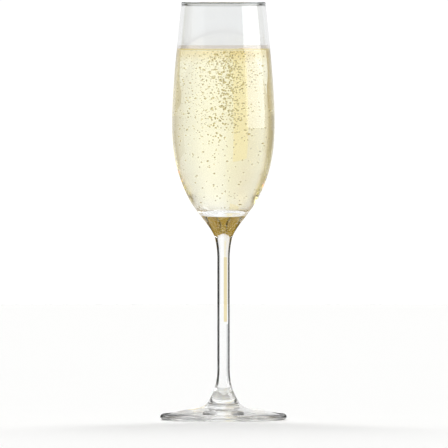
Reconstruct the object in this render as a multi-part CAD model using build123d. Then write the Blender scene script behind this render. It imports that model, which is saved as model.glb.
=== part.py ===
"""A stemmed champagne flute, filled: blown bowl, drawn stem, pressed foot and the drink.

Millimetres, +Z up. The origin is on the table, under the middle of the foot, and every piece is
turned about Z. The three glass pieces are made apart and welded hot, one on top of the other, so
each meets the next on a plain round face.
"""

from build123d import *
from math import exp
import os

# Heights above the table
RIM_TOP = 225.0
BOWL_WELD_Z = 99.4      # bowl on stem
FOOT_WELD_Z = 9.4       # stem on foot

# Bowl: height, outside radius and level wall thickness, from above the weld to below the lip.
# Towards the bottom, where the blown gather was heaviest, no wall is given: it is solid there.
BOWL_STATIONS = (
    (103.0, 7.1, 0),
    (106.6, 9.75, 0),
    (114.1, 15.4, 0),
    (119.0, 18.5, 0),
    (120.6, 19.3, 1.75),
    (124.9, 21.3, 1.45),
    (135.7, 25.0, 1.2),
    (148.6, 27.2, 1.1),
    (161.0, 27.7, 1.1),
    (176.6, 27.05, 1.1),
    (194.0, 25.75, 1.1),
    (209.5, 24.2, 1.1),
)
RIM_RADIUS = 22.65
RIM_WALL = 1.05
RIM_LEAN = -0.12        # radius lost per millimetre of height, at the lip
BOWL_FLOOR = ((14.7, 117.9), (11.4, 115.7), (7.8, 114.2), (0, 113.8))  # inside, radius and height

# Stem: drawn rod, flared into both welds
SHAFT_RADIUS = 3.33
SHAFT_BOTTOM = 28.0
SHAFT_TOP = 87.0
BOWL_WELD_RADIUS = 5.1
BOWL_WELD_LEAN = 0.48   # radius gained per millimetre of height, on both sides of the weld
TOP_FLARE = ((3.66, 92.6), (4.35, 96.8))
FOOT_WELD_RADIUS = 8.5
FOOT_WELD_LEAN = -0.56
BOTTOM_FLARE = ((5.1, 15.8), (3.8, 21.2))

# Foot: shallow cone with a fully rounded edge, hollowed underneath so that it stands on a ring
FOOT_RADIUS = 34.0
FOOT_EDGE = 3.2         # thickness at the edge
FOOT_TOP = ((10.9, 7.35), (19.0, 5.65))
FOOT_EDGE_LEAN = -0.07
RING_INNER_RADIUS = 29.0
FOOT_HOLLOW = 1.6       # height of the hollow at the middle

# Drink
FILL_LEVEL = 198.5
MENISCUS_RISE = 3.3     # how far the liquid climbs the glass
CAPILLARY_LENGTH = 2.0
FILL_RADIUS = 24.1      # inside radius of the bowl at the fill level
MENISCUS_GAPS = (-0.8, 0.4, 1.6, 3.0, 5.0, 8.0)     # distances in from the glass; level past the last


def turned(outline):
    """The solid that a closed outline in the XZ plane sweeps in a full turn about Z."""
    return revolve(make_face(Plane.XZ * outline), Axis.Z)


def bowl_outside():
    """Curve from the weld up to the lip."""
    points = [(BOWL_WELD_RADIUS, BOWL_WELD_Z)]
    points += [(radius, z) for z, radius, _ in BOWL_STATIONS]
    points += [(RIM_RADIUS, RIM_TOP - RIM_WALL / 2)]
    return Spline(*points, tangents=((BOWL_WELD_LEAN, 1), (RIM_LEAN, 1)))


def bowl_inside():
    """Curve from the lip down to the bowl's lowest point."""
    points = [(RIM_RADIUS - RIM_WALL, RIM_TOP - RIM_WALL / 2)]
    points += [(radius - wall, z) for z, radius, wall in reversed(BOWL_STATIONS) if wall]
    points += BOWL_FLOOR
    return Spline(*points, tangents=((-RIM_LEAN, -1), (-1, 0)))


def bowl():
    """Blown bowl with a solid bottom and a fire-polished lip."""
    outside = bowl_outside()
    inside = bowl_inside()
    lip = ThreePointArc(outside @ 1, (RIM_RADIUS - RIM_WALL / 2, RIM_TOP), inside @ 0)
    base = Polyline(inside @ 1, (0, BOWL_WELD_Z), outside @ 0)
    return turned(Curve() + [outside, lip, inside, base])


def stem():
    """Drawn rod whose ends flare into the bowl and the foot."""
    top_flare = Spline(
        (SHAFT_RADIUS, SHAFT_TOP), *TOP_FLARE, (BOWL_WELD_RADIUS, BOWL_WELD_Z),
        tangents=((0, 1), (BOWL_WELD_LEAN, 1)),
    )
    bottom_flare = Spline(
        (FOOT_WELD_RADIUS, FOOT_WELD_Z), *BOTTOM_FLARE, (SHAFT_RADIUS, SHAFT_BOTTOM),
        tangents=((FOOT_WELD_LEAN, 1), (0, 1)),
    )
    shaft = Line(bottom_flare @ 1, top_flare @ 0)
    core = Polyline(top_flare @ 1, (0, BOWL_WELD_Z), (0, FOOT_WELD_Z), bottom_flare @ 0)
    return turned(Curve() + [bottom_flare, shaft, top_flare, core])


def foot():
    """Pressed foot: cone, rounded edge, standing ring and domed hollow."""
    edge_middle = FOOT_RADIUS - FOOT_EDGE / 2
    cone = Spline(
        (FOOT_WELD_RADIUS, FOOT_WELD_Z), *FOOT_TOP, (edge_middle, FOOT_EDGE),
        tangents=((-FOOT_WELD_LEAN, -1), (1, FOOT_EDGE_LEAN)),
    )
    edge = ThreePointArc(cone @ 1, (FOOT_RADIUS, FOOT_EDGE / 2), (edge_middle, 0))
    ring = Line(edge @ 1, (RING_INNER_RADIUS, 0))
    dome_radius = (RING_INNER_RADIUS**2 + FOOT_HOLLOW**2) / (2 * FOOT_HOLLOW)
    half_way = RING_INNER_RADIUS / 2
    half_way_z = FOOT_HOLLOW - dome_radius + (dome_radius**2 - half_way**2) ** 0.5
    dome = ThreePointArc(ring @ 1, (half_way, half_way_z), (0, FOOT_HOLLOW))
    core = Polyline(dome @ 1, (0, FOOT_WELD_Z), cone @ 0)
    return turned(Curve() + [cone, edge, ring, dome, core])


def meniscus():
    """The drink's surface, from just inside the glass in to where it lies level."""
    points = []
    for gap in MENISCUS_GAPS:
        rise = MENISCUS_RISE * exp(-gap / CAPILLARY_LENGTH)
        points.append((FILL_RADIUS - gap, FILL_LEVEL + rise))
    return Spline(*points)


def champagne():
    """The drink: the inside of the bowl, up to a surface that climbs the glass."""
    inside = bowl_inside()
    lid = Polyline(inside @ 1, (0, RIM_TOP), (RIM_RADIUS - RIM_WALL, RIM_TOP), inside @ 0)
    cavity = turned(Curve() + [inside, lid])
    surface = meniscus()
    contact = surface @ 0
    level = surface @ 1
    below = Polyline(level, (0, level.Y), (0, 0), (FOOT_RADIUS, 0), (FOOT_RADIUS, contact.Y), contact)
    return cavity & turned(Curve() + [surface, below])


os.makedirs("parts", exist_ok=True)
for make in (bowl, stem, foot, champagne):
    export_step(make(), f"parts/{make.__name__}.step")
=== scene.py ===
import math
import random

import bmesh
import bpy
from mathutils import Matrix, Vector
from mathutils.geometry import interpolate_bezier


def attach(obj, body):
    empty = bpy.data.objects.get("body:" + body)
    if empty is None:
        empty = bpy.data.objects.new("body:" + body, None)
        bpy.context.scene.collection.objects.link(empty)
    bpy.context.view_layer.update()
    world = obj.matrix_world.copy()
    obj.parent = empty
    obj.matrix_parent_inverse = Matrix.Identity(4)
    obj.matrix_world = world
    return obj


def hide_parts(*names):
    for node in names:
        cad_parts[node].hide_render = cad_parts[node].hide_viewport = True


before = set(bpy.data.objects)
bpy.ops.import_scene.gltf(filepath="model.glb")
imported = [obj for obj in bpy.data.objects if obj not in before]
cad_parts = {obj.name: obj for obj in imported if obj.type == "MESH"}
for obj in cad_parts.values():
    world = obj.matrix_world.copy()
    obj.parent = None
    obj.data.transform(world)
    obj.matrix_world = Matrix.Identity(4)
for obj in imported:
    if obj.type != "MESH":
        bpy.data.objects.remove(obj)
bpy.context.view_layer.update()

# ---------------------------------------------------------------------------------------------
# Foot: a disc of soda-lime glass, pressed while soft into a shallow cone. Its edge is rounded in
# the flame, and its underside is hollowed, so that it stands on a ring. The stem is welded on hot.
# ---------------------------------------------------------------------------------------------
MM = 0.001
FOOT_RADIUS = 34.0
FOOT_EDGE = 3.2                                 # thickness at the rounded edge
FOOT_WELD = (8.5, 9.4)                          # radius, height
FOOT_CONE = (FOOT_WELD, (10.9, 7.35), (19.0, 5.65), (32.4, 3.2))
FOOT_WELD_SPLIT = 4.2                           # the weld face has a ring of corners here
RING_MIDDLE = 30.7
RING_INSIDE = 29.0
FOOT_HOLLOW = 1.6
FOOT_STEPS = 192                                # faces round it


def smooth_line(stations, leave, arrive, spacing=1.2):
    """Points in metres along a smooth curve through (radius, height) stations in millimetres.

    leave and arrive are its directions at its two ends. The slopes at the stations between are
    settled until the curvature runs through them unbroken, as it does on turned glass."""
    knots = [Vector((radius, 0, height)) for radius, height in stations]
    spans = [(b - a).length for a, b in zip(knots, knots[1:])]
    slopes = [Vector((0, 0, 0)) for _ in knots]
    slopes[0] = Vector((leave[0], 0, leave[1])).normalized()
    slopes[-1] = Vector((arrive[0], 0, arrive[1])).normalized()
    for _ in range(60):
        for i in range(1, len(knots) - 1):
            near, far = spans[i - 1], spans[i]
            pull = (knots[i] - knots[i - 1]) * far / near + (knots[i + 1] - knots[i]) * near / far
            slopes[i] = (3 * pull - far * slopes[i - 1] - near * slopes[i + 1]) / (2 * (near + far))
    line = [knots[0]]
    for i, span in enumerate(spans):
        count = max(3, round(span / spacing) + 1)
        reach = span / 3
        line += interpolate_bezier(
            knots[i], knots[i] + slopes[i] * reach,
            knots[i + 1] - slopes[i + 1] * reach, knots[i + 1], count,
        )[1:]
    return [point * MM for point in line]


def round_edge(middle, radius, begin, end, count=10):
    """Points along an arc about a middle in millimetres, between two angles in degrees."""
    line = []
    for i in range(count + 1):
        angle = math.radians(begin + (end - begin) * i / count)
        line.append(Vector((middle[0] + radius * math.cos(angle), 0,
                            middle[1] + radius * math.sin(angle))) * MM)
    return line


def straight(*stations):
    """Corner points of straight runs, from millimetres."""
    return [Vector((radius, 0, height)) * MM for radius, height in stations]


def turn(parts, steps=160):
    """A closed shape turned about Z, from lines of points; each comes with its material slot."""
    shape = bmesh.new()
    for line, slot in parts:
        band = bmesh.new()
        corners = [band.verts.new(point) for point in line]
        edges = [band.edges.new(pair) for pair in zip(corners, corners[1:])]
        bmesh.ops.spin(band, geom=corners + edges, cent=(0, 0, 0), axis=(0, 0, 1),
                       angle=math.tau, steps=steps, use_merge=True)
        for face in band.faces:
            face.material_index = slot
            face.smooth = True
        turned = bpy.data.meshes.new("turned")
        band.to_mesh(turned)
        band.free()
        shape.from_mesh(turned)
        bpy.data.meshes.remove(turned)
    bmesh.ops.remove_doubles(shape, verts=shape.verts, dist=0.002 * MM)
    bmesh.ops.recalc_face_normals(shape, faces=shape.faces)
    for edge in shape.edges:
        edge.smooth = edge.calc_face_angle(0) < math.radians(35)
    return shape


def finish_piece(name, shape, materials, node):
    """Makes the shape an object under the root body that stands for a CAD node, and hides the node."""
    mesh = bpy.data.meshes.new(name)
    shape.to_mesh(mesh)
    shape.free()
    for material in materials:
        mesh.materials.append(material)
    piece = bpy.data.objects.new(name, mesh)
    bpy.context.scene.collection.objects.link(piece)
    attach(piece, "root")
    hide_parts(node)
    return piece


def linear(colour):
    """An sRGB hex colour as the linear colour that a socket takes."""
    parts = [int(colour[i:i + 2], 16) / 255 for i in (1, 3, 5)]
    return [p / 12.92 if p <= 0.04045 else ((p + 0.055) / 1.055) ** 2.4 for p in parts] + [1]


def add(tree, kind, sockets, **settings):
    """Adds a node. A socket is given a value, or the output that it is joined to."""
    made = tree.nodes.new(kind)
    for name, value in settings.items():
        setattr(made, name, value)
    for name, value in sockets.items():
        if isinstance(value, bpy.types.NodeSocket):
            tree.links.new(value, made.inputs[name])
        else:
            made.inputs[name].default_value = value
    return made


def clear_glass(name, wave_mm, stretch, depth_mm, mirror="#ffffff", body="#fdfefe"):
    """Fire-polished clear glass with the slow waviness that its making leaves in the surface.

    wave_mm is the length of the waves and stretch draws them out along Z; mirror tints what the
    surface reflects and body what passes through it."""
    material = bpy.data.materials.new(name)
    material.use_nodes = True
    tree = material.node_tree
    tree.nodes.clear()
    place = add(tree, "ShaderNodeTexCoord", {})
    drawn = add(tree, "ShaderNodeMapping",
                {"Vector": place.outputs["Object"], "Scale": (1, 1, 1 / stretch)})
    waves = add(tree, "ShaderNodeTexNoise",
                {"Vector": drawn.outputs["Vector"], "Scale": 1 / (wave_mm * MM), "Detail": 1.5})
    relief = add(tree, "ShaderNodeBump",
                 {"Height": waves.outputs["Fac"], "Strength": 1, "Distance": depth_mm * MM})
    glass = add(tree, "ShaderNodeBsdfPrincipled",
                {"Base Color": linear(body), "Roughness": 0.0, "IOR": 1.52,
                 "Transmission Weight": 1.0, "Specular Tint": linear(mirror),
                 "Normal": relief.outputs["Normal"]})
    add(tree, "ShaderNodeOutputMaterial", {"Surface": glass.outputs["BSDF"]})
    return material


def unseen_weld(name):
    """The face where two hot pieces have flowed into one: light passes it unchanged."""
    material = bpy.data.materials.new(name)
    material.use_nodes = True
    tree = material.node_tree
    tree.nodes.clear()
    clear = add(tree, "ShaderNodeBsdfTransparent", {"Color": (1, 1, 1, 1)})
    add(tree, "ShaderNodeOutputMaterial", {"Surface": clear.outputs["BSDF"]})
    return material


edge_radius = FOOT_EDGE / 2
dome_radius = (RING_INSIDE ** 2 + FOOT_HOLLOW ** 2) / (2 * FOOT_HOLLOW)
dome_lean = math.degrees(math.asin(RING_INSIDE / dome_radius))
foot_cone = smooth_line(FOOT_CONE, (0.56, -1), (1, -0.07))
foot_rim = round_edge((FOOT_RADIUS - edge_radius, edge_radius), edge_radius, 90, -90, 12)
foot_ring = straight((FOOT_RADIUS - edge_radius, 0), (RING_MIDDLE, 0), (RING_INSIDE, 0))
foot_dome = round_edge((0, FOOT_HOLLOW - dome_radius), dome_radius, 90 - dome_lean, 90, 24)
foot_cap = straight((0, FOOT_WELD[1]), (FOOT_WELD_SPLIT, FOOT_WELD[1]), FOOT_WELD)
# Pressed glass keeps a faint waviness from the mould.
pressed_glass = clear_glass("soda_lime_glass_pressed", 9, 1, 0.02)
foot_weld = unseen_weld("foot_weld")
foot = finish_piece(
    "foot_glass",
    turn([(foot_cone, 0), (foot_rim, 0), (foot_ring, 0), (foot_dome, 0), (foot_cap, 1)],
         FOOT_STEPS),
    [pressed_glass, foot_weld], "foot",
)

# ---------------------------------------------------------------------------------------------
# Stem: a rod of the same glass, drawn down from a hot gather, so its ends swell into the bowl
# above and the foot below. Drawing leaves faint lines along it.
# ---------------------------------------------------------------------------------------------
BOWL_WELD = (5.1, 99.4)                         # radius, height
BOWL_WELD_SPLIT = 2.6
SHAFT_RADIUS = 3.33
SHAFT_BOTTOM = 28.0
SHAFT_TOP = 87.0
SHAFT_PARTS = 12
STEM_STEPS = 96

stem_low = smooth_line((FOOT_WELD, (5.1, 15.8), (3.8, 21.2), (SHAFT_RADIUS, SHAFT_BOTTOM)),
                       (-0.56, 1), (0, 1), 0.8)
stem_shaft = straight(*[
    (SHAFT_RADIUS, SHAFT_BOTTOM + (SHAFT_TOP - SHAFT_BOTTOM) * i / SHAFT_PARTS)
    for i in range(SHAFT_PARTS + 1)])
stem_high = smooth_line(((SHAFT_RADIUS, SHAFT_TOP), (3.66, 92.6), (4.35, 96.8), BOWL_WELD),
                        (0, 1), (0.48, 1), 0.8)
stem_foot_cap = straight((0, FOOT_WELD[1]), (FOOT_WELD_SPLIT, FOOT_WELD[1]), FOOT_WELD)
stem_bowl_cap = straight(BOWL_WELD, (BOWL_WELD_SPLIT, BOWL_WELD[1]), (0, BOWL_WELD[1]))
# Drawn glass: the waves are short across the rod and 30 times as long along it.
drawn_glass = clear_glass("soda_lime_glass_drawn", 2.5, 30, 0.004)
stem_weld = unseen_weld("stem_weld")
stem = finish_piece(
    "stem_glass",
    turn([(stem_foot_cap, 1), (stem_low, 0), (stem_shaft, 0), (stem_high, 0), (stem_bowl_cap, 1)],
         STEM_STEPS),
    [drawn_glass, stem_weld], "stem",
)

# ---------------------------------------------------------------------------------------------
# Bowl: the same glass, blown in a turning mould and cut and melted round at the lip. The wall is
# heaviest at the bottom, where the stem is welded on. Under the drink's edge the inside is wet.
# ---------------------------------------------------------------------------------------------
BOWL_STATIONS = (                               # height, outside radius, level wall
    (103.0, 7.1, 0),
    (106.6, 9.75, 0),
    (114.1, 15.4, 0),
    (119.0, 18.5, 0),
    (120.6, 19.3, 1.75),
    (124.9, 21.3, 1.45),
    (135.7, 25.0, 1.2),
    (148.6, 27.2, 1.1),
    (161.0, 27.7, 1.1),
    (176.6, 27.05, 1.1),
    (194.0, 25.75, 1.1),
    (209.5, 24.2, 1.1),
)
RIM_TOP = 225.0
RIM_RADIUS = 22.65
RIM_WALL = 1.05
LIP_BEAD = 0.72                                 # radius of the lip, melted to a bead
BOWL_FLOOR = ((14.7, 117.9), (11.4, 115.7), (7.8, 114.2), (0, 113.8))      # radius, height
WET_LINE = 198.8                                # the inside is wet glass up to here

lip_middle = (RIM_RADIUS - RIM_WALL / 2, RIM_TOP - LIP_BEAD)
lip_begin = math.degrees(math.acos(RIM_WALL / 2 / LIP_BEAD))
lip_foot = lip_middle[1] - LIP_BEAD * math.sin(math.radians(lip_begin))
bowl_outside = smooth_line(
    (BOWL_WELD, *[(radius, z) for z, radius, _ in BOWL_STATIONS], (RIM_RADIUS, lip_foot)),
    (0.48, 1), (-0.12, 1))
bowl_lip = round_edge(lip_middle, LIP_BEAD, -lip_begin, 180 + lip_begin, 14)


def bowl_inside(outward=0.0):
    """The inside line from the lip to the floor, moved outward into the wall by some mm."""
    stations = [(RIM_RADIUS - RIM_WALL + outward, lip_foot)]
    stations += [(radius - wall + outward, z) for z, radius, wall in reversed(BOWL_STATIONS) if wall]
    stations += [(radius + outward / 2, z - outward) for radius, z in BOWL_FLOOR[:-1]]
    stations += [(0, BOWL_FLOOR[-1][1] - outward)]
    return smooth_line(stations, (0.12, -1), (-1, 0))


inside = bowl_inside()
wet_step = min(range(len(inside)), key=lambda i: abs(inside[i].z - WET_LINE * MM))
bowl_cap = straight((0, BOWL_WELD[1]), (BOWL_WELD_SPLIT, BOWL_WELD[1]), BOWL_WELD)
# Blown glass, waved more slowly than pressed. Where it is wet it hardly reflects, and the glass of
# the lip is greyed as painted shade, so that the rim draws a darker line.
blown_glass = clear_glass("soda_lime_glass_blown", 14, 1, 0.012)
wet_glass = clear_glass("soda_lime_glass_blown_wet", 14, 1, 0.012, mirror="#202020")
lip_glass_painted_shade = clear_glass("soda_lime_glass_lip_painted_shade", 14, 1, 0.012, body="#b8bcbc")
bowl_weld = unseen_weld("bowl_weld")
bowl = finish_piece(
    "bowl_glass",
    turn([(bowl_cap, 2), (bowl_outside, 0), (bowl_lip, 3), (inside[:wet_step + 1], 0),
          (inside[wet_step:], 1)]),
    [blown_glass, wet_glass, bowl_weld, lip_glass_painted_shade], "bowl",
)

# ---------------------------------------------------------------------------------------------
# Champagne: pale straw, clear, and a little climbed up the glass where it meets it. Its colour
# comes from depth. The bubbles are hollows in it: a stream that rises in the middle, others all
# through it, and a fine mist.
# ---------------------------------------------------------------------------------------------
FILL_LEVEL = 198.5
MENISCUS_RISE = 3.3                             # the drink wets the glass and climbs it upright
CAPILLARY_LENGTH = MENISCUS_RISE / math.sqrt(2)
CLIMB_PARTS = (1, 0.98, 0.95, 0.9, 0.84, 0.77, 0.7, 0.62, 0.54,     # of the rise, where the skin
               0.46, 0.38, 0.3, 0.22, 0.15, 0.09, 0.05, 0.02)       # has corners
LEVEL_SPLIT = 8                                 # radius of a ring of corners in the level part
LEVEL_LIFT = 0.01                               # keeps corners in the surface from falling together
OVERLAP = 0.12                                  # the drink reaches this far into the wall, so
                                                # that no air shows between them
CONTACT_GAP = 0.4                               # the wall line starts this far under the contact
BUBBLE_SLOT = 1
FILM_SLOT = 2


def climb_gap(rise):
    """Distance in from the wall at which the climbing skin is at a height above the level."""
    top, here = MENISCUS_RISE / CAPILLARY_LENGTH, rise / CAPILLARY_LENGTH
    return CAPILLARY_LENGTH * (math.acosh(2 / here) - math.acosh(2 / top)
                               + math.sqrt(4 - top ** 2) - math.sqrt(4 - here ** 2))


reach = [(p.x / MM, p.z / MM) for p in reversed(inside)]


def inside_radius(height):
    """Inside radius of the bowl at a height, in millimetres."""
    for (r0, z0), (r1, z1) in zip(reach, reach[1:]):
        if z0 <= height <= z1:
            return r0 + (r1 - r0) * (height - z0) / (z1 - z0)
    return 0


surface = []
for part in CLIMB_PARTS:
    rise = MENISCUS_RISE * part
    surface.append((inside_radius(FILL_LEVEL + rise) - climb_gap(rise), FILL_LEVEL + rise))
surface.insert(0, (surface[0][0] + OVERLAP, surface[0][1] + LEVEL_LIFT))
surface_line = straight(*surface, (LEVEL_SPLIT, FILL_LEVEL + LEVEL_LIFT), (0, FILL_LEVEL))
wall_line = bowl_inside(OVERLAP)
top = surface_line[0]
wall_line = [top] + [p for p in wall_line if p.z < top.z - CONTACT_GAP * MM]
film_wall = sum(point.z > WET_LINE * MM for point in wall_line)
film_skin = sum(point.z > WET_LINE * MM for point in surface_line)
drink = turn([(wall_line[:film_wall], FILM_SLOT), (wall_line[film_wall - 1:], 0),
              (surface_line[:film_skin], FILM_SLOT), (surface_line[film_skin - 1:], 0)])

# Bubbles: placed by a seeded draw inside the drink, clear of the glass and of each other.
SEED = 11
BUBBLE_FLOOR = 104                              # no bubble is tried below this height
SURFACE_GAP = 0.2
WALL_GAP = 0.35
BUBBLE_GAP = 0.05
STREAM_COUNT = 460
STREAM_RADII = (0.3, 0.5)
SPREAD_COUNT = 420
SPREAD_RADII = (0.2, 0.38)
MIST_COUNT = 600
MIST_RADII = (0.13, 0.22)
draw = random.Random(SEED)
placed = []


def try_bubble(x, y, z, radius):
    """Adds a bubble if it is in the drink and touches nothing."""
    if not BUBBLE_FLOOR < z < FILL_LEVEL - radius - SURFACE_GAP:
        return
    if math.hypot(x, y) > inside_radius(z) - radius - WALL_GAP:
        return
    for a, b, c, r in placed:
        if (a - x) ** 2 + (b - y) ** 2 + (c - z) ** 2 < (r + radius + BUBBLE_GAP) ** 2:
            return
    placed.append((x, y, z, radius))


for _ in range(STREAM_COUNT):                   # rising in the middle, thickest near the top
    up = draw.random() ** 0.6
    try_bubble(draw.gauss(2.4, 4.2), draw.gauss(0, 7.5), 148 + 50 * up, draw.uniform(*STREAM_RADII))
for _ in range(SPREAD_COUNT):                   # all through the drink
    height = 112 + 87 * draw.random() ** 0.75
    angle = draw.uniform(0, math.tau)
    away = inside_radius(height) * math.sqrt(draw.random())
    try_bubble(away * math.cos(angle), away * math.sin(angle), height, draw.uniform(*SPREAD_RADII))
for _ in range(MIST_COUNT):                     # a fine mist, mostly left of the middle
    up = draw.random() ** 0.5
    try_bubble(draw.gauss(-6, 9), draw.gauss(0, 10), 150 + 47 * up, draw.uniform(*MIST_RADII))

ball = bmesh.new()
bmesh.ops.create_icosphere(ball, subdivisions=2, radius=1.0)
bmesh.ops.reverse_faces(ball, faces=ball.faces)
for face in ball.faces:
    face.smooth = True
    face.material_index = BUBBLE_SLOT
hollow = bpy.data.meshes.new("hollow")
ball.to_mesh(hollow)
ball.free()
hollows = bmesh.new()
for _ in placed:
    hollows.from_mesh(hollow)
hollows.verts.ensure_lookup_table()
corners = len(hollow.vertices)
for i, (x, y, z, radius) in enumerate(placed):
    for vert in hollows.verts[i * corners:(i + 1) * corners]:
        vert.co = (vert.co * radius + Vector((x, y, z))) * MM
hollows.to_mesh(hollow)
hollows.free()
drink.from_mesh(hollow)
bpy.data.meshes.remove(hollow)

WATERY_IOR = 1.34
ABSORBED = (0.995, 0.85, 0.02, 1)               # how freely red, green and blue pass
ABSORPTION = 7.0                                # per metre

# Wine: clear, coloured by depth, and tinted a deeper gold in its top few millimetres.
wine = bpy.data.materials.new("sparkling_white_wine")
wine.use_nodes = True
tree = wine.node_tree
tree.nodes.clear()
TOP_TINT_DEPTH = 8.0                                # the tint reaches this far under the surface, mm
TOP_TINT = "#f5ecd6"                           # and deepens the colour there
TOP_TINT_CEILING = 0.3                              # the skin above this has no tint, mm
place = add(tree, "ShaderNodeTexCoord", {})
parts = add(tree, "ShaderNodeSeparateXYZ", {"Vector": place.outputs["Object"]})
top_band = add(tree, "ShaderNodeMapRange",
           {"Value": parts.outputs["Z"], "From Min": (FILL_LEVEL - TOP_TINT_DEPTH) * MM,
            "From Max": FILL_LEVEL * MM}, interpolation_type="SMOOTHSTEP")
under = add(tree, "ShaderNodeMath", {0: parts.outputs["Z"], 1: (FILL_LEVEL + TOP_TINT_CEILING) * MM},
            operation="LESS_THAN")
top_tint_there = add(tree, "ShaderNodeMath", {0: top_band.outputs["Result"], 1: under.outputs["Value"]},
                 operation="MULTIPLY")
tint = add(tree, "ShaderNodeMix", {"Factor": top_tint_there.outputs["Value"], 6: (1, 1, 1, 1),
                                   7: linear(TOP_TINT)}, data_type="RGBA")
body = add(tree, "ShaderNodeBsdfPrincipled",
           {"Base Color": tint.outputs[2], "Roughness": 0.0, "IOR": WATERY_IOR,
            "Transmission Weight": 1.0, "Specular Tint": linear("#404040")})
depth = add(tree, "ShaderNodeVolumeAbsorption", {"Color": ABSORBED, "Density": ABSORPTION})
add(tree, "ShaderNodeOutputMaterial",
    {"Surface": body.outputs["BSDF"], "Volume": depth.outputs["Volume"]})

# Bubbles: hollows whose skin is tinted olive as painted shade, so that at this size they read as dark
# specks.
bubble_painted_shade = bpy.data.materials.new("carbon_dioxide_bubble_painted_shade")
bubble_painted_shade.use_nodes = True
tree = bubble_painted_shade.node_tree
tree.nodes.clear()
skin = add(tree, "ShaderNodeBsdfPrincipled",
           {"Base Color": linear("#c8bd86"), "Roughness": 0.0, "IOR": WATERY_IOR,
            "Transmission Weight": 1.0, "Specular Tint": linear("#b0a878")})
add(tree, "ShaderNodeOutputMaterial", {"Surface": skin.outputs["BSDF"]})

# Film: the drink that has climbed the glass, drawn as too thin to bend light.
film = bpy.data.materials.new("sparkling_white_wine_film")
film.use_nodes = True
tree = film.node_tree
tree.nodes.clear()
thin = add(tree, "ShaderNodeBsdfTransparent", {"Color": linear("#faf8f6")})
depth = add(tree, "ShaderNodeVolumeAbsorption", {"Color": ABSORBED, "Density": ABSORPTION})
add(tree, "ShaderNodeOutputMaterial",
    {"Surface": thin.outputs["BSDF"], "Volume": depth.outputs["Volume"]})
champagne = finish_piece("champagne_drink", drink, [wine, bubble_painted_shade, film], "champagne")

# ---------------------------------------------------------------------------------------------
# Studio: a pale table, a softbox at the right and a broad light from behind. What the glass shows
# is made by cards that only it sees, and by surroundings with one level for the camera, one for
# the table and one for the glass. They were set for the main camera.
# ---------------------------------------------------------------------------------------------
scene = bpy.context.scene
scene.view_settings.view_transform = "Standard"
BOUNCES = 48                                    # light runs round in the wall many times
scene.cycles.max_bounces = BOUNCES
scene.cycles.transmission_bounces = BOUNCES
scene.cycles.glossy_bounces = BOUNCES
world = bpy.data.worlds.new("studio")
world.use_nodes = True
scene.world = world
tree = world.node_tree
tree.nodes.clear()
WORLD_BEARINGS = (                              # degrees clockwise from straight behind, level,
    (-180, 0.55, "#ffffff"), (-131, 0.6, "#ffffff"), (-120, 0.8, "#ffffff"),       # and tint
    (-84, 0.75, "#fff8e8"), (-70, 0.3, "#ffedb8"), (-52, 0.33, "#ffeab0"),
    (-41, 0.54, "#ffeec0"), (-36, 0.80, "#fff7e8"), (-30, 0.88, "#fffdf8"), (-14, 0.87, "#fffaf0"),
    (-4, 0.94, "#fffdf5"), (0, 0.98, "#ffffff"), (4, 1.02, "#ffffff"), (13, 1.02, "#ffffff"),
    (18, 0.96, "#ffffff"), (26, 0.89, "#ffffff"), (35, 0.84, "#fffdfb"), (42, 0.79, "#fffaf5"),
    (51, 0.64, "#fff8ef"), (62, 0.62, "#fff8ef"), (72, 0.5, "#fff2d2"), (84, 0.55, "#ffffff"),
    (180, 0.55, "#ffffff"),
)
PEAK = 1.1                                      # a ramp holds no level above one
FLOOR_FILL = 0.22                               # soft light from all round, on the table
BACKDROP = 1.03                                 # the levels above are shares of this
CAMERA_LEVEL = 1.05                             # the plain white that the camera sees
CEILING = 0.22                                  # level of the dim grey overhead
CEILING_TILT = 12                               # it leans forward by this, in degrees
CEILING_EDGE = (38, 46)                         # its soft edge, in degrees about its middle
ray = add(tree, "ShaderNodeTexCoord", {})
parts = add(tree, "ShaderNodeSeparateXYZ", {"Vector": ray.outputs["Generated"]})
bearing = add(tree, "ShaderNodeMath", {0: parts.outputs["X"], 1: parts.outputs["Y"]},
              operation="ARCTAN2")
share = add(tree, "ShaderNodeMapRange",
            {"Value": bearing.outputs["Value"], "From Min": -math.pi, "From Max": math.pi})
levels = add(tree, "ShaderNodeValToRGB", {"Fac": share.outputs["Result"]})
stops = levels.color_ramp.elements
stops.remove(stops[1])
for degrees, level, tint in WORLD_BEARINGS:
    stop = stops.new((degrees + 180) / 360)
    stop.color = [level / PEAK * part for part in linear(tint)[:3]] + [1]
stops.remove(stops[0])
tilt = math.radians(CEILING_TILT)
height = add(tree, "ShaderNodeVectorMath",
             {0: ray.outputs["Generated"],
              1: (0, -math.sin(tilt), math.cos(tilt))},
             operation="DOT_PRODUCT")
lift = add(tree, "ShaderNodeMapRange",
           {"Value": height.outputs["Value"], "From Min": math.cos(math.radians(CEILING_EDGE[1])),
            "From Max": math.cos(math.radians(CEILING_EDGE[0]))}, interpolation_type="SMOOTHSTEP")
sky = add(tree, "ShaderNodeMix", {"Factor": lift.outputs["Result"], 6: levels.outputs["Color"],
                                  7: [CEILING / PEAK] * 3 + [1]}, data_type="RGBA")
path = add(tree, "ShaderNodeLightPath", {})
studio = add(tree, "ShaderNodeBackground", {"Color": sky.outputs[2], "Strength": BACKDROP * PEAK})
white = add(tree, "ShaderNodeBackground", {"Color": (1, 1, 1, 1), "Strength": CAMERA_LEVEL})
soft = add(tree, "ShaderNodeBackground", {"Color": (1, 1, 1, 1), "Strength": FLOOR_FILL})
lit = add(tree, "ShaderNodeMixShader", {"Fac": path.outputs["Is Diffuse Ray"],
                                        1: studio.outputs["Background"], 2: soft.outputs["Background"]})
seen = add(tree, "ShaderNodeMixShader", {"Fac": path.outputs["Is Camera Ray"],
                                         1: lit.outputs["Shader"], 2: white.outputs["Background"]})
add(tree, "ShaderNodeOutputWorld", {"Surface": seen.outputs["Shader"]})

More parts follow.
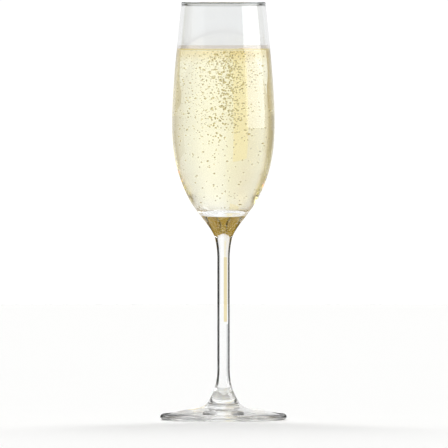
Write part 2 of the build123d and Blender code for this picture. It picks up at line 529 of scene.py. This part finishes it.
TABLE_RADIUS = 2.5
floor_shape = bmesh.new()
bmesh.ops.create_circle(floor_shape, cap_ends=True, segments=96, radius=TABLE_RADIUS)
floor_mesh = bpy.data.meshes.new("table")
floor_shape.to_mesh(floor_mesh)
floor_shape.free()
table = bpy.data.objects.new("table", floor_mesh)
scene.collection.objects.link(table)
# Laminate: matt white, with no shine.
table_white = bpy.data.materials.new("matt_white_laminate")
table_white.use_nodes = True
laminate = table_white.node_tree.nodes["Principled BSDF"]
laminate.inputs["Base Color"].default_value = linear("#f9f9f8")
laminate.inputs["Roughness"].default_value = 0.9
laminate.inputs["Specular IOR Level"].default_value = 0.0
floor_mesh.materials.append(table_white)


def panel(name, place, target, width, height, radiance, colour="#ffffff", glass=True):
    """A soft panel at a place, facing a target, in metres. Without glass, it lights only what
    it reaches straight, and glass shades it."""
    light = bpy.data.lights.new(name, "AREA")
    light.shape = "RECTANGLE"
    light.size, light.size_y = width, height
    light.energy = radiance * math.pi * width * height
    light.color = linear(colour)[:3]
    light.cycles.use_multiple_importance_sampling = glass
    lamp = bpy.data.objects.new(name, light)
    lamp.location = place
    lamp.rotation_euler = (Vector(target) - Vector(place)).to_track_quat("-Z", "Y").to_euler()
    lamp.visible_camera = False
    lamp.visible_diffuse = not glass
    scene.collection.objects.link(lamp)
    return lamp


def around(bearing, distance, height):
    """A place at a bearing from straight behind, clockwise from above."""
    angle = math.radians(bearing)
    return (distance * math.sin(angle), distance * math.cos(angle), height)


SOFTBOX_HEIGHT = 0.62
panel("right_softbox", around(101, 1.0, SOFTBOX_HEIGHT), (0, 0, SOFTBOX_HEIGHT), 1.0, 1.0, 2.8)

SUN_STRENGTH = 3.45
SUN_WIDTH = math.radians(50)
SUN_ELEVATION = math.radians(48)
sun = bpy.data.lights.new("back_light", "SUN")
sun.energy = SUN_STRENGTH
sun.angle = SUN_WIDTH
sun.cycles.use_multiple_importance_sampling = False     # the glass throws a plain soft shadow
sun_lamp = bpy.data.objects.new("back_light", sun)
falling = Vector((0, -math.cos(SUN_ELEVATION), -math.sin(SUN_ELEVATION)))
sun_lamp.rotation_euler = falling.to_track_quat("-Z", "Y").to_euler()
scene.collection.objects.link(sun_lamp)


def card(name, outline, finish, colour, radiance):
    """A glowing card, in metres, that only the glass and the drink see."""
    mesh = bpy.data.meshes.new(name)
    outline.to_mesh(mesh)
    outline.free()
    material = bpy.data.materials.new(finish)
    material.use_nodes = True
    tree = material.node_tree
    tree.nodes.clear()
    lit = add(tree, "ShaderNodeEmission", {"Color": linear(colour), "Strength": radiance})
    add(tree, "ShaderNodeOutputMaterial", {"Surface": lit.outputs["Emission"]})
    mesh.materials.append(material)
    made = bpy.data.objects.new(name, mesh)
    made.visible_camera = False
    made.visible_diffuse = False
    made.visible_shadow = False
    scene.collection.objects.link(made)


def bent_card(begin, end, distance, low, high):
    """Part of an upright ring between two bearings."""
    ring = bmesh.new()
    ends = [ring.verts.new(around(begin, distance, z)) for z in (low, high)]
    side = ring.edges.new(ends)
    bmesh.ops.spin(ring, geom=[*ends, side], cent=(0, 0, 0), axis=(0, 0, 1),
                   angle=math.radians(begin - end), steps=24)
    return ring


# Behind: the gold strip in the drink. Overhead: the gold that the bottom of the bowl reflects.
WING_DISTANCE = 0.5
WING_TOP = 0.142
CANOPY_RADIUS = 0.13
CANOPY_PLACE = (0, -0.05, 0.27)
card("gold_card", bent_card(-13.5, -5, WING_DISTANCE, 0.085, 0.197), "gold_card", "#fff6d9", 0.957)
lid = bmesh.new()
bmesh.ops.create_circle(lid, cap_ends=True, segments=48, radius=CANOPY_RADIUS)
bmesh.ops.translate(lid, verts=lid.verts, vec=CANOPY_PLACE)
card("gold_canopy", lid, "gold_cloth", "#a89040", 1.0)
card("low_reflector", bent_card(76, 127, 0.95, 0.02, 0.118), "white_reflector", "#ffffff", 1.3)
card("low_gold_card", bent_card(-25, -2, 0.49, 0.04, 0.085), "pale_gold_card", "#f6e7b8", 0.93)
card("foot_card", bent_card(-85, -20, 0.06, 0.004, 0.05), "grey_card", "#e6e6e6", 0.8)

# Close to the foot: dark cards that draw the lines of its edge.
EDGE_FLAG_DISTANCE = 0.042
EDGE_FLAG_TOP = 0.007
card("right_edge_flag", bent_card(40, 140, EDGE_FLAG_DISTANCE, 0, EDGE_FLAG_TOP),
     "black_card", "#303030", 1.0)
card("left_edge_flag", bent_card(-140, -40, EDGE_FLAG_DISTANCE, 0, EDGE_FLAG_TOP),
     "black_card_left", "#303030", 1.0)

# Far off at both sides: dim cards that shade the edges of the drink.
card("right_wing", bent_card(33, 51, WING_DISTANCE, 0.06, WING_TOP), "grey_wing", "#fff6e4", 0.68)
card("right_outer_wing", bent_card(51, 80, WING_DISTANCE, 0.06, WING_TOP), "dark_wing", "#fff8ef", 0.6)
card("left_wing", bent_card(-48, -36, WING_DISTANCE, 0.05, WING_TOP), "gold_wing", "#ffe9b4", 0.5)
card("left_outer_wing", bent_card(-80, -48, WING_DISTANCE, 0.05, WING_TOP),
     "dark_gold_wing", "#ffedc0", 0.42)
card("mouth_scrim", bent_card(-60, 60, 0.1, 0.1995, 0.262), "grey_scrim", "#ffffff", 0.88)

# A dark ring over the lip draws the rim line.
RIM_FLAG_HEIGHT = 0.2262
RIM_FLAG_RADII = (0.0203, 0.0265)
rim_flag = bmesh.new()
reach_across = [rim_flag.verts.new((x, 0, RIM_FLAG_HEIGHT)) for x in RIM_FLAG_RADII]
flag_side = rim_flag.edges.new(reach_across)
bmesh.ops.spin(rim_flag, geom=[*reach_across, flag_side], cent=(0, 0, 0), axis=(0, 0, 1),
               angle=math.tau, steps=48, use_merge=True)
card("rim_flag", rim_flag, "black_felt", "#101010", 1.0)

# Dark cards beside the stem draw the lines along it.
STEM_FLAG_DISTANCE = 0.012
STEM_FLAG_SPAN = (0.014, 0.104)                 # low and high
card("right_flag", bent_card(20, 90, STEM_FLAG_DISTANCE, *STEM_FLAG_SPAN),
     "black_velvet", "#282828", 1.0)
card("left_flag", bent_card(-90, -25, STEM_FLAG_DISTANCE, *STEM_FLAG_SPAN),
     "black_velvet_left", "#505050", 1.0)

SENSOR_WIDTH = 36
FRAME_WIDTH = 0.2413                            # metres across the picture at the glass
DISTANCE = 6.5
CAMERA_HEIGHT = 0.224
AIM_HEIGHT = 0.1055
SIDE_STEP = 0.00027                             # the glass stands this much left of the middle
camera_data = bpy.data.cameras.new("camera")
camera_data.sensor_width = SENSOR_WIDTH
camera_data.lens = SENSOR_WIDTH * DISTANCE / FRAME_WIDTH
camera_data.clip_end = 30
camera = bpy.data.objects.new("camera", camera_data)
camera.location = (SIDE_STEP, -DISTANCE, CAMERA_HEIGHT)
target = Vector((SIDE_STEP, 0, AIM_HEIGHT))
camera.rotation_euler = (target - camera.location).to_track_quat("-Z", "Y").to_euler()
scene.collection.objects.link(camera)
scene.camera = camera
